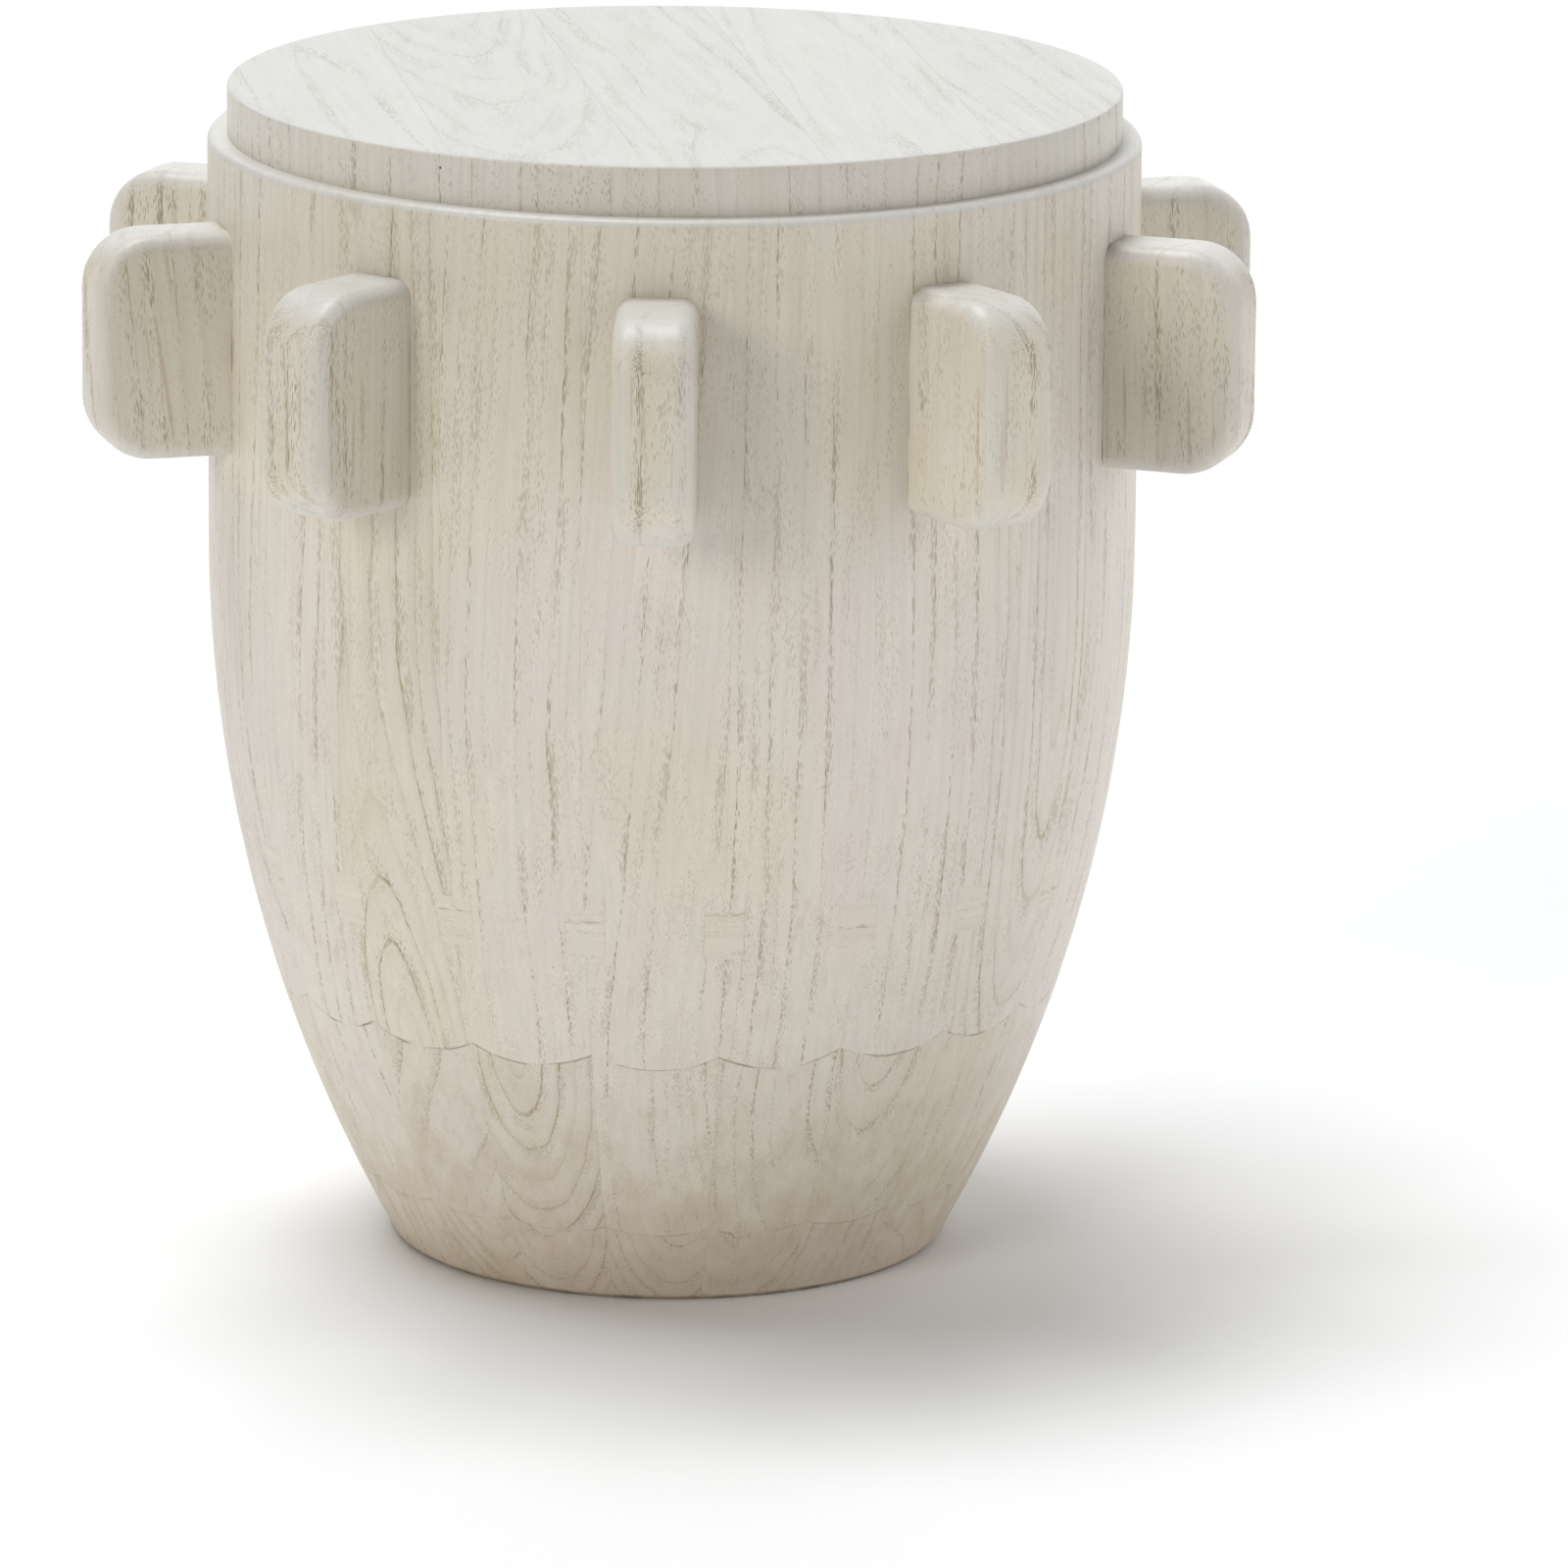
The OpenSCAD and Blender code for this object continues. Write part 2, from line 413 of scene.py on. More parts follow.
class Wood(Marks):
    """The marks, and where a point lies among the growth rings, as fields."""

    def __init__(self, tree):
        super().__init__(tree)
        across, deep, _ = split(self.log)
        from_heart = calc("SQRT", across * across + deep * deep)
        wander = (cloud(self.log, 34, 190) - 0.5) * WANDER
        ripple = (cloud(self.log, 6, 26) - 0.5) * RIPPLE
        count = (from_heart + wander + ripple) / self.ring
        nearest = calc("ROUND", count)
        self.off = count - nearest
        self.off_mm = self.off * self.ring
        luck = add(tree, "ShaderNodeTexWhiteNoise", {"noise_dimensions": "1D"}, W=nearest)
        self.clear = ramp(Field(luck.outputs["Value"]), 0.20, 0.90, 0.08, 1.0) + self.figure * 0.25
        fading = ramp(cloud(self.log, 13, 70), 0.36, 0.60, 0.12, 1.0)
        self.strength = self.clear * calc("MAXIMUM", fading, self.figure * 0.6)

    def near(self, centre, inner, outer):
        """1 near a line that lies `centre` millimetres outside each ring, and 0 beyond `outer`."""
        return ramp(calc("ABSOLUTE", self.off_mm - centre), inner, outer, 1.0, 0.0)


print("rings wander by up to", WANDER / 2, "mm and ripple by up to", RIPPLE / 2)

# %% [markdown]
# ## Ring lines
#
# On real wood a ring line is a string of small open vessels, each a few millimetres long, that fades
# out and comes back. A drawn line would look like a map. So only a thin broken line is drawn, and the
# vessels in the next step do the rest. Boards with a clear figure get a steadier line and a band of
# tan late wood inside it.

# %% Ring lines
LINE_HALF = 0.42


def ring_line(wood):
    """How strongly the thin line of a ring shows."""
    dashes = ramp(cloud(wood.log, 0.8, 3.2, 1.0), 0.44, 0.60)
    steady = calc("MAXIMUM", dashes, wood.figure * 0.6)
    return wood.near(0.0, 0.08, LINE_HALF) * (wood.figure * 0.4 + 1.0) * steady * wood.strength


def late_wood(wood):
    """The tan band inside a ring line."""
    band = ramp(wood.off, -0.45, -0.02) * ramp(wood.off, 0.0, 0.04, 1.0, 0.0)
    return band * (wood.figure * 0.22 + 0.06)


print("a ring line is", 2 * LINE_HALF, "mm wide with its soft edges")

# %% [markdown]
# ## Pores
#
# There are two sizes of vessel: long ones that crowd just outside each ring line, and fine ones strewn
# everywhere in drifts. Smooth noise would give blots that run together. Cells of scattered points,
# stretched along the grain, give separate short strokes. A cell becomes a pore where its distance is
# below a size, and the size grows near a ring.

# %% Pores
VESSEL_W, VESSEL_LONG = 0.95, 5.2
FINE_W, FINE_LONG = 0.66, 2.7


def vessels(wood, wide, long):
    """The long vessels along each ring line."""
    near = wood.near(0.35, 0.25, 1.15) * wood.strength * (wood.figure * -0.6 + 1.0)
    apart = cells(wood.log, VESSEL_W * wide, VESSEL_LONG * long)
    return ramp(apart - (near * 0.38 + 0.045), -0.06, 0.07, 1.0, 0.0)


def fine_pores(wood, wide, long):
    """The fine pores between the rings."""
    crowd = wood.near(1.0, 0.4, 2.4) * wood.clear
    drifts = ramp(cloud(wood.log, 9, 42), 0.38, 0.64, 0.40, 1.35)
    apart = cells(wood.log, FINE_W * wide, FINE_LONG * long)
    return ramp(apart - (crowd * 0.20 + 0.20) * drifts, -0.06, 0.08, 1.0, 0.0)


print("vessels about", VESSEL_LONG, "mm long, fine pores about", FINE_LONG)

# %% [markdown]
# ## The stain itself
#
# Between the rings the colour still drifts: cream in one place, rosy in the next. Towards the floor it
# turns browner and darker, partly the foot's own brown and partly painted shade near the floor. A
# drift laid on board by board would stop at every joint. Slow noise in the object's own space carries
# it over them, as a rag carries stain. Streaks and fibres follow the grain, and each board adds its
# own tint and shade.

# %% Stained ground
SHADE_STEP = 0.030


def stained_ground(wood, drift, rust):
    """The colour between the rings. Places and heights of the object are in metres."""
    region = cloud(wood.spot, 0.09, 0.13, 1.0) - 0.5
    warmth = region * 5.0 + wood.tint + ramp(wood.height, 0.26, 0.38, -0.3, 1.1)
    ground = blend_colour(ramp(warmth, -1.0, 1.0), ROSY, CREAM)
    ground = blend_colour(ramp(drift, 0.3, 0.7, 0.15, 0.75), ground, PALE)
    mottle = cloud(wood.spot, 0.012, 0.016, 3.0) - 0.5
    # Browner and darker towards the floor: partly the foot's own brown, partly painted shade near the
    # floor.
    brown_and_shade_low = ramp(mottle * 0.15 + wood.height, 0.110, -0.010, 0.0, 0.50)
    ground = blend_colour(brown_and_shade_low, ground, FOOT_BROWN_AND_SHADE)
    rusty = ramp(cloud(wood.log, 3.2, 60, 1.0), 0.64, 0.74)
    return blend_colour(rusty * (0.12 + 0.35 * rust), ground, RUST)


def wood_light(wood, fibre, lift):
    """How much lighter or darker the wood is than its colour."""
    streak = cloud(wood.log, 3.0, 110) - 0.5
    grit = cloud(wood.log, 0.8, 1.7, 1.0) - 0.5
    light = streak * 0.15 + (fibre - 0.5) * 0.12 + grit * 0.10 + 1.0
    # Lighter below and darker towards the rim: painted shade for the light the upper body misses.
    return light * ramp(wood.height, 0.24, 0.40, 1.07, 0.99) * (wood.shade * SHADE_STEP + lift)


print("each step of a board's shade changes its light by", SHADE_STEP)

# %% [markdown]
# ## Glue lines
#
# The photo shows the scalloped seams as thin brown lines, strong in some places and gone in others,
# and the upright joints hardly at all. The mesh has a fine step there already. A little dust, broken
# up by noise, makes it show at this distance. The drum's bottom edge is darkened too: a painted
# contact shadow where it meets the floor.

# %% Dust in the glue lines, and painted shade
DUST_REACH = 0.62


def glue_dust_and_painted_shade(wood):
    """Dust in the glue lines, and painted shade: in the pin hole, and as a contact shadow on the foot's
    bottom edge.
    """
    uneven = ramp(cloud(wood.log, 12, 12), 0.44, 0.64)
    seam = ramp(wood.seam, 0.12, DUST_REACH, 0.66, 0.0) * ramp(wood.height, 0.05, 0.10, 0.45, 1.0)
    joint = ramp(wood.joint, 0.05, 0.30, 0.22, 0.0)
    # A painted contact shadow: the bottom two and a half millimetres of the foot darken towards the
    # floor.
    painted_contact_shadow = ramp(wood.height, 0.0010, 0.0025, 0.85, 0.0) * (uneven * 0.4 + 0.6)
    return calc("MAXIMUM", calc("MAXIMUM", seam, joint) * uneven, painted_contact_shadow)


print("dust reaches", DUST_REACH, "mm from a seam")

# %% [markdown]
# ## The whole finish
#
# The layers go on in the order of the real ones: ground, late wood, ring lines, pores, dust with
# painted shade, then the thick coat with a painted sheen, which hides the grain under it. The relief is
# made of the same pores and fibres, so every dark pore is also a small pit. One function makes all the
# woods, and its settings say how strongly each thing shows.

# %% Whitewash
def whitewash(name, lines=1.0, pores=1.0, fine=0.60, rust=0.0, gloss=0.42, lift=1.0, wide=1.0, long=1.0):
    """Whitewashed wood: how strongly ring lines and pores show, how strong the fine pores are beside the
    vessels, how rusty, rough and bright the wood is, and how wide and long its pores are."""
    material, shader = new_material(name)
    wood = Wood(shader.id_data)
    drift = cloud(wood.log, 24, 60)
    fibre = cloud(wood.log, 0.55, 16, 2.0, 0.6)
    line = ring_line(wood)
    fine_pore = fine_pores(wood, wide, long) * fine
    pore = calc("MAXIMUM", vessels(wood, wide, long), fine_pore)
    bold = ramp(wood.height, 0.06, 0.16, 0.525, 0.65)

    paint = stained_ground(wood, drift, rust)
    layers = [
        (late_wood(wood), LATE_TAN),
        (line * bold * lines, LINE_TAN),
        (pore * bold * pores, PORE_TAN),
        (glue_dust_and_painted_shade(wood), DUST_AND_SHADE),
        (wood.coat_and_sheen, THICK_COAT_AND_SHEEN),
    # The thick coat, partly a painted sheen: a cooler white that hides the grain.
    ]
    for share, colour in layers:
        paint = blend_colour(share, paint, colour)
    light = wood_light(wood, fibre, lift)
    lit = add(paint.tree, "ShaderNodeVectorMath", {"operation": "SCALE"}, Scale=light)
    feed(lit.inputs[0], paint)
    feed(shader.inputs["Base Color"], Field(lit.outputs[0]))

    bare = calc("SUBTRACT", 1.0, wood.coat_and_sheen)
    roughen(shader, fibre * 0.25 + pore * bare * -0.8 + line * bare * -0.5, 0.5)
    feed(shader.inputs["Roughness"], pore * bare * 0.25 + (drift - 0.5) * 0.12 + gloss)
    return material


def roughen(shader, relief, strength):
    """Gives a shader a fine relief, a fifth of a millimetre deep."""
    bump = add(shader.id_data, "ShaderNodeBump", Strength=strength, Distance=0.2 * MM, Height=relief)
    feed(shader.inputs["Normal"], Field(bump.outputs["Normal"]))


stave_wash = whitewash("stave_wash", pores=0.95, wide=0.82, long=1.3)
foot_wash = whitewash("foot_wash", lines=1.2, pores=1.05, lift=0.97, wide=0.82, long=1.3)
fin_wash = whitewash("fin_wash", lines=1.2, pores=1.05, fine=1.1, rust=0.7, wide=0.62, long=1.75)
# The top's lift of 0.895 paints it darker than the other wood: painted shade against the light from
# above.
top_wash = whitewash("top_wash", lines=1.5, pores=1.5, gloss=0.38, lift=0.895)
spline_wash = whitewash("spline_wash", lines=0.5, pores=0.6)
print("nodes in the stave wash:", len(stave_wash.node_tree.nodes))

# %% [markdown]
# ## How a board was sawn
#
# Two boards from one log look different because of where the heart lies. A heart far off to the side
# gives straight upright lines, and one right behind the board gives nested arches. So a board here is
# little more than the place of its heart. Boards that nobody planned draw theirs at random from a
# fixed seed, so the stool comes out the same each time.

# %% Boards
draw = random.Random(1873)


class Board(SimpleNamespace):
    """How one board was sawn: where the log's heart lies from the board's axis (sideways, deep), how it
    leans along the board, the ring width in millimetres, and the board's tint, shade and figure."""

    def __init__(self, **planned):
        chance = dict(
            heart=(draw.choice((-1, 1)) * draw.uniform(20, 100), draw.uniform(-30, 50)),
            lean=(draw.uniform(-0.04, 0.04), draw.uniform(-0.05, 0.05)),
            ring=draw.uniform(4.2, 7.4),
            tint=draw.uniform(-1, 1),
            shade=draw.uniform(-1, 1),
            start=draw.uniform(-900, 900),
            figure=0.0,
        )
        super().__init__(**chance | planned)

    def place(self, side, deep, along):
        """Where a point of the board lies in the log, from its millimetres sideways, deep and along."""
        return (
            side - self.heart[0] + self.lean[0] * along,
            deep - self.heart[1] + self.lean[1] * along,
            along + self.start,
        )

    def look(self):
        """The board's tint, shade and ring width."""
        return (self.tint, self.shade, self.ring)


print("a board by chance has its heart at", [round(n, 1) for n in Board().heart])

# %% [markdown]
# ## Making a piece
#
# Every turned board is a loft: a closed section is worked out at a row of places, and each is joined
# to the next by quads. A boolean of a cylinder and a box would be quicker to write, but it leaves long
# thin faces that shade badly. The loft keeps the grid even and the solid closed, and it can ease the
# arrises as a scraper would.

# %% Lofts and pieces
SMOOTH_BELOW = radians(28)


def quads(rows, length, closed):
    """Faces between neighbouring rows of points. The points of a closed row go round to its start."""
    steps = [(j, (j + 1) % length) for j in range(length if closed else length - 1)]
    starts = range(0, (rows - 1) * length, length)
    return [(i + j, i + k, i + length + k, i + length + j) for i in starts for j, k in steps]


def close_round_hub(points, faces, around, hub):
    """Closes a loop of points with triangles that meet in a new point."""
    points.append(hub)
    faces.extend((len(points) - 1, one, other) for one, other in zip(around, around[1:] + around[:1]))


def loft(sections):
    """Points and faces of a closed solid through a row of closed sections with as many points each."""
    rows = np.array(sections, float)
    count, size = rows.shape[:2]
    ends = [tuple(range(size))[::-1], tuple(range((count - 1) * size, count * size))]
    return rows.reshape(-1, 3), quads(count, size, closed=True) + ends


def turned_copy(solid, turn):
    """The same points and faces, turned by a matrix."""
    points, faces = solid
    return [turn @ Vector(p) for p in points], faces


def soften(mesh):
    """Smooth shading, with hard edges where faces meet at an angle."""
    mesh.shade_smooth()
    mesh.set_sharp_from_angle(angle=SMOOTH_BELOW)


def show(name, work, material):
    """An object for a finished bmesh, with all its faces turned outwards."""
    bmesh.ops.recalc_face_normals(work, faces=work.faces)
    mesh = bpy.data.meshes.new(name)
    work.to_mesh(mesh)
    work.free()
    mesh.materials.append(material)
    soften(mesh)
    return put(name, mesh)


def build(solids):
    """A bmesh from a list of solids, each as (points, faces)."""
    work = bmesh.new()
    for points, faces in solids:
        corners = [work.verts.new(p) for p in points]
        for face in faces:
            work.faces.new([corners[v] for v in face])
    return work


def new_piece(name, solids, material):
    """One object from a list of solids."""
    return show(name, build(solids), material)


print("edges stay smooth below", round(SMOOTH_BELOW, 2), "radians")

# %% [markdown]
# A finished piece gets its marks, is turned to its place round the drum and is hung on the root body,
# and the model's nodes that it stands for are hidden. `FAR` marks a point with no line near it.

# %% Marks and turns
FAR = 9


def rows_of(data, name):
    """The vectors called `name` in a mesh's data, one row each."""
    flat = np.zeros(len(data) * 3, np.float32)
    data.foreach_get(name, flat)
    return flat.reshape(-1, 3).astype(float)


def mark(mesh, rows, figure=0.0):
    """Stores (log, lines, board) for every vertex, and the board's figure."""
    for name, numbers in zip(("log", "lines", "board"), zip(*rows)):
        layer = mesh.attributes.new(name, "FLOAT_VECTOR", "POINT")
        layer.data.foreach_set("vector", np.array(numbers, np.float32).ravel())
    if figure:
        layer = mesh.attributes.new("figure", "FLOAT", "POINT")
        layer.data.foreach_set("value", np.full(len(mesh.vertices), figure, np.float32))


def turned_to(index, count):
    """The turn that takes a piece from +X to its place round the drum. The first one faces -Y."""
    return Matrix.Rotation((index - 1) * 2 * pi / count - pi / 2, 4, "Z")


def finish_piece(piece, slot, *nodes):
    """Hangs the piece on the root body and hides the model's nodes that it stands for. The slot is not
    used.
    """
    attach(piece, "root")
    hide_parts(*nodes)


print("staves are turned by steps of", round(TURN, 3), "radians")

# %% [markdown]
# ## Shape of a stave
#
# A stave is a flat board with mitred sides, turned on its outside only. Each section is a radial
# slice: up the turned side, over the rounded rim and down the flat inside. The slices crowd together
# near the joints, where the arris is eased by a few hundredths of a millimetre, so each joint catches
# a hair of shade. The stave's foot runs out to a feather edge. It stops where it is too thin to hold,
# so a fine step follows the whole scalloped seam.

# %% Slices and arrises
EASE = 0.06 * MM
FEATHER = 0.07 * MM
NEAR_JOINT = [0, 0.10, 0.30, 0.60, 1.2, 2.6]
NEAR_SEAM = [0, 0.35, 0.9, 2.0, 4.0]


def slice_angles(steps=11):
    """Angles of the radial slices across a board, crowded near both joints."""
    edge = [TURN / 2 - d * MM / BELLY_R for d in NEAR_JOINT]
    middle = [edge[-1] * (1 - 2 * i / steps) for i in range(1, steps)]
    return [-a for a in edge] + [-a for a in middle] + edge[::-1]


def eased(side):
    """How far the arris is taken back at this angle: a quarter round at the joint."""
    gap = (TURN / 2 - abs(side)) * BELLY_R
    if gap >= EASE * 2:
        return 0.0
    return EASE * (1 - sqrt(max(0.0, 1 - (1 - gap / (EASE * 2)) ** 2)))


def feather_height(flat, side):
    """Where a board's turned side stops above its flat inner face: at an edge as thin as FEATHER."""
    return height_at(flat / cos(side) + FEATHER + eased(side))


def heights(bottom, top, count):
    """Heights from bottom to top, crowded near both ends, with `count` even steps between."""
    near = [d * MM for d in NEAR_SEAM]
    first, last = bottom + near[-1], top - near[-1]
    between = [first + (last - first) * i / count for i in range(1, count)]
    return [bottom + d for d in near] + between + [top - d for d in near[::-1]]


print("slices across a board:", len(slice_angles()))

# %% [markdown]
# The section itself is a list of points in the board's own frame, where +X points out of the drum. The
# board's flat face is a plane across X, so a slice meets it a little further out towards the joints.

# %% Stave section
RIM_ROUND = 3 * MM
SIDE_STEPS = 44
INSIDE_ROWS = (0.36, 0.28, 0.20)


def on_side(radius, side, z):
    """A point of the turned side."""
    return (radius * cos(side), radius * sin(side), z)


def on_flat(flat, side, z):
    """A point of a board's flat face."""
    return (flat, flat * tan(side), z)


def stave_section(side):
    """One radial slice of a stave."""
    bottom, corner_r, corner_z = feather_height(STAVE_FLAT, side), BELLY_R - RIM_ROUND, RIM_Z - RIM_ROUND
    outline = [(drum_radius(z), z) for z in heights(bottom, corner_z, SIDE_STEPS)]
    for a in (radians(18 * i) for i in range(1, 6)):
        outline.append((corner_r + RIM_ROUND * cos(a), corner_z + RIM_ROUND * sin(a)))
    outside = [on_side(radius - eased(side), side, z) for radius, z in outline]
    return outside + [on_flat(STAVE_FLAT, side, z) for z in (RIM_Z, *INSIDE_ROWS, bottom)]


print("points in each section:", len(stave_section(0)))

# %% [markdown]
# ## Grooves for the splines
#
# Each joint is locked by a thin loose strip. Where the side draws in, the turning cuts through the
# strips and they show as small rectangles. Painted ones would have no depth at their edges. So the
# grooves are really cut, with a boolean, and the strips are really there.

# %% Groove cutter
SPLINE_MID = STAVE_FLAT + 14.8 * MM
SPLINE_T = 4 * MM
SPLINE_W = 15 * MM
GROOVE_PLAY = 0.06 * MM
GROOVE_FOOT = 100 * MM


def groove_cutter():
    """Both grooves of a stave, as boxes lying in its two joints."""
    reach, wide = SPLINE_T / 2 + GROOVE_PLAY, SPLINE_W / 2 + GROOVE_PLAY
    corners = ((-reach, -wide), (reach, -wide), (reach, wide), (-reach, wide))
    ends = (GROOVE_FOOT, RIM_Z + 10 * MM)
    box = loft([[(SPLINE_MID + x, y, z) for x, y in corners] for z in ends])
    turns = [Matrix.Rotation(joint, 3, "Z") for joint in (-TURN / 2, TURN / 2)]
    return new_piece("groove_cutter", [turned_copy(box, turn) for turn in turns], stave_wash)


def carve(piece, cutter):
    """Cuts the cutter out of the piece, keeps the result as its mesh, and removes the cutter."""
    knife = piece.modifiers.new("cut", "BOOLEAN")
    knife.operation = "DIFFERENCE"
    knife.solver = "EXACT"
    knife.object = cutter
    cut = bpy.data.meshes.new_from_object(piece.evaluated_get(bpy.context.evaluated_depsgraph_get()))
    piece.modifiers.clear()
    old, name = piece.data, piece.data.name
    piece.data = cut
    bpy.data.meshes.remove(old)
    bpy.data.objects.remove(cutter)
    cut.name = name
    soften(cut)


print("a groove is", round((SPLINE_T + 2 * GROOVE_PLAY) / MM, 2), "mm thick")

# %% [markdown]
# ## Which stave shows which figure
#
# Most staves are sawn at random. Those in front carry what the photo shows: nested arches low on the
# left, where the turning comes near the heart of the log, long U shapes at the far right, and almost
# upright lines between them. For the arches, the heart is put where they say it must be.

# %% Sawing list of the staves
# How thick the coat lies on the rounded rim; it also paints the rim's highlight.
RIM_COAT_AND_HIGHLIGHT = 0.7
RIM_INSIDE = STAVE_FLAT + 10 * MM
SAWN_STAVES = {
    1: dict(heart=(74, 12), lean=(-0.07, 0.0), ring=6.6, tint=-0.3, shade=0.4),
    2: dict(heart=(-98, 8), lean=(-0.01, 0.0), ring=5.6, tint=0.0, shade=0.4),
    3: dict(heart=(86, 20), lean=(0.01, 0.0), ring=5.0, tint=-0.5, shade=0.4),
    4: dict(heart=(11, 30.5), lean=(0, 0), ring=5.5, tint=-0.6, shade=0.1, figure=0.6),
    5: dict(heart=(-60, 42), ring=5.0, tint=-0.8, shade=0.0),
    18: dict(heart=(80, -14), ring=4.8, tint=-0.6, shade=0.0),
    19: dict(heart=(-2.9, 0.7), lean=(0.02, 0.0), ring=5.3, tint=0.3, shade=-0.2, figure=0.6),
    20: dict(heart=(-78, -6), lean=(-0.04, 0.0), ring=6.0, tint=0.0, shade=0.6),
}


def turned_marks(points, board, flat, lower_seam=None, upper_seam=None):
    """The marks of a turned board that lies along +X, with the seam below it and the seam above it."""
    rows = []
    for x, y, z in points:
        side, radius = atan2(y, x), hypot(x, y)
        joint = max(0.0, TURN / 2 - abs(side)) * radius
        seam = 1.0
        turned = abs(radius - drum_radius(z)) < MM
        if turned and lower_seam:
            seam = min(seam, z - feather_height(lower_seam, side))
        if turned and upper_seam:
            seam = min(seam, seam_height(upper_seam, side) - z)
        # On the rounded rim the thick coat is partly a painted highlight along the ledge.
        over_round = (z - RIM_Z + RIM_ROUND) / MM if radius > RIM_INSIDE else 0.0
        coat_and_sheen = min(RIM_COAT_AND_HIGHLIGHT, max(0.0, over_round))
        log = board.place(y / MM, (x - flat) / MM, z / MM)
        rows.append((log, (max(0.0, seam) / MM, joint / MM, coat_and_sheen), board.look()))
    return rows


print("staves with a planned figure:", sorted(SAWN_STAVES))

# %% [markdown]
# ## The staves
#
# All twenty have the same shape, so the loft is worked out once. Copies that share a mesh would all
# show the same grain. So each stave has its own, which is carved, marked with its place in its own
# log, and only then turned to its place round the drum.

# %% Make the staves
stave_solid = loft([stave_section(side) for side in slice_angles()])
for index in range(1, STAVES + 1):
    stave = new_piece(f"turned_stave_{index:02d}", [stave_solid], stave_wash)
    carve(stave, groove_cutter())
    sawn = Board(**SAWN_STAVES.get(index, {}))
    places = rows_of(stave.data.vertices, "co")
    mark(stave.data, turned_marks(places, sawn, STAVE_FLAT, lower_seam=STAVE_FLAT), sawn.figure)
    stave.data.transform(turned_to(index, STAVES))
    finish_piece(stave, "stave_wood", f"stave_{index:02d}")
print("staves:", STAVES, "with", len(stave.data.vertices), "points each")

# %% [markdown]
# ## The splines
#
# A spline's grain lies across the joint for strength, so its pores run sideways on the drum. A plain
# box would stand out of the drum at its foot. So it is lofted, and its foot follows the turned side, a
# hair below it, as sanding leaves a strip of end grain. The rest of it stands hidden in the joint, up
# to the rim.

# %% Make the splines
SPLINE_SINK = 0.02 * MM


def spline_section(shift):
    """One upright slice of a spline, `shift` metres to the side of its joint."""
    inner, outer = SPLINE_MID - SPLINE_T / 2, SPLINE_MID + SPLINE_T / 2
    foot, head = height_at(hypot(inner, shift)), height_at(hypot(outer, shift))
    rise = [foot + (head - foot) * i / 6 for i in range(7)]
    shown = [(sqrt(drum_radius(z) ** 2 - shift ** 2) - SPLINE_SINK, shift, z) for z in rise]
    return shown + [(outer - SPLINE_SINK, shift, RIM_Z - MM), (inner, shift, RIM_Z - MM)]


spline_solids, spline_marks = [], []
strip = loft([spline_section(SPLINE_W * (i / 8 - 0.5)) for i in range(9)])
for index in range(1, STAVES + 1):
    heart = draw.uniform(-6, 6), draw.uniform(20, 60)
    sawn = Board(heart=heart, ring=3.4, tint=0.3, shade=draw.uniform(-0.5, 0.4))
    logs = [sawn.place(z / MM, x / MM, y / MM) for x, y, z in strip[0]]
    spline_marks += [(log, (FAR, FAR, 0), sawn.look()) for log in logs]
    spline_solids.append(turned_copy(strip, turned_to(index + 0.5, STAVES).to_3x3()))
splines = new_piece("joint_splines", spline_solids, spline_wash)
mark(splines.data, spline_marks)
finish_piece(splines, "spline_wood", "stave_splines")
print("splines:", STAVES, "strips in one piece")

# %% [markdown]
# ## Foot blocks
#
# Inside the staves sits a layer of blocks, each a flat board like a stave. The turning shows it only
# as a band between two scalloped seams. The rest is flat wood inside the drum, which can be seen from
# underneath. It is lofted in the same slices as the staves, so the two meet point for point.

# %% Make the foot blocks
LINING_BEVEL = 3 * MM
BAND_STEPS = 12
SAWN_FOOT_BLOCKS = {
    1: dict(heart=(52, 26), lean=(0, 0), ring=5.4, tint=-0.2),
    2: dict(heart=(34, 30), ring=7.0, tint=0.0),
    3: dict(heart=(-10, 36), ring=6.4, tint=0.2, figure=0.2),
    19: dict(heart=(46, -34), ring=6.0, tint=-0.2),
    20: dict(heart=(-6, 32.5), lean=(0, 0), ring=5.6, tint=0.5, figure=0.8),
}


def block_section(side, flat, outer_flat, top, bottom):
    """One radial slice of a block: the turned band, then its flat outer face and its inside."""
    seam, bend = seam_height(outer_flat, side), top - LINING_BEVEL
    band = [on_side(drum_radius(z) - eased(side), side, z) for z in heights(bottom, seam, BAND_STEPS)]
    outer = [on_flat(outer_flat, side, z) for z in (seam + 2 * MM, top)]
    inner = [on_flat(flat + LINING_BEVEL, side, top), on_flat(flat, side, bend)]
    inner += [on_flat(flat, side, bottom + (bend - bottom) * t) for t in (0.66, 0.33, 0.0)]
    return band + outer + inner


def lining_section(side):
    """One radial slice of a foot block."""
    return block_section(side, LINING_FLAT, STAVE_FLAT, LINING_H, feather_height(LINING_FLAT, side))


lining_solid = loft([lining_section(side) for side in slice_angles()])
for index in range(1, STAVES + 1):
    piece = new_piece(f"turned_foot_block_{index:02d}", [lining_solid], foot_wash)
    sawn = Board(**SAWN_FOOT_BLOCKS.get(index, {}))
    places = rows_of(piece.data.vertices, "co")
    mark(piece.data, turned_marks(places, sawn, LINING_FLAT, LINING_FLAT, STAVE_FLAT), sawn.figure)
    piece.data.transform(turned_to(index, STAVES))
    finish_piece(piece, "foot_wood", f"foot_block_{index:02d}")
print("foot blocks:", STAVES, "with", len(lining_solid[0]), "points each")

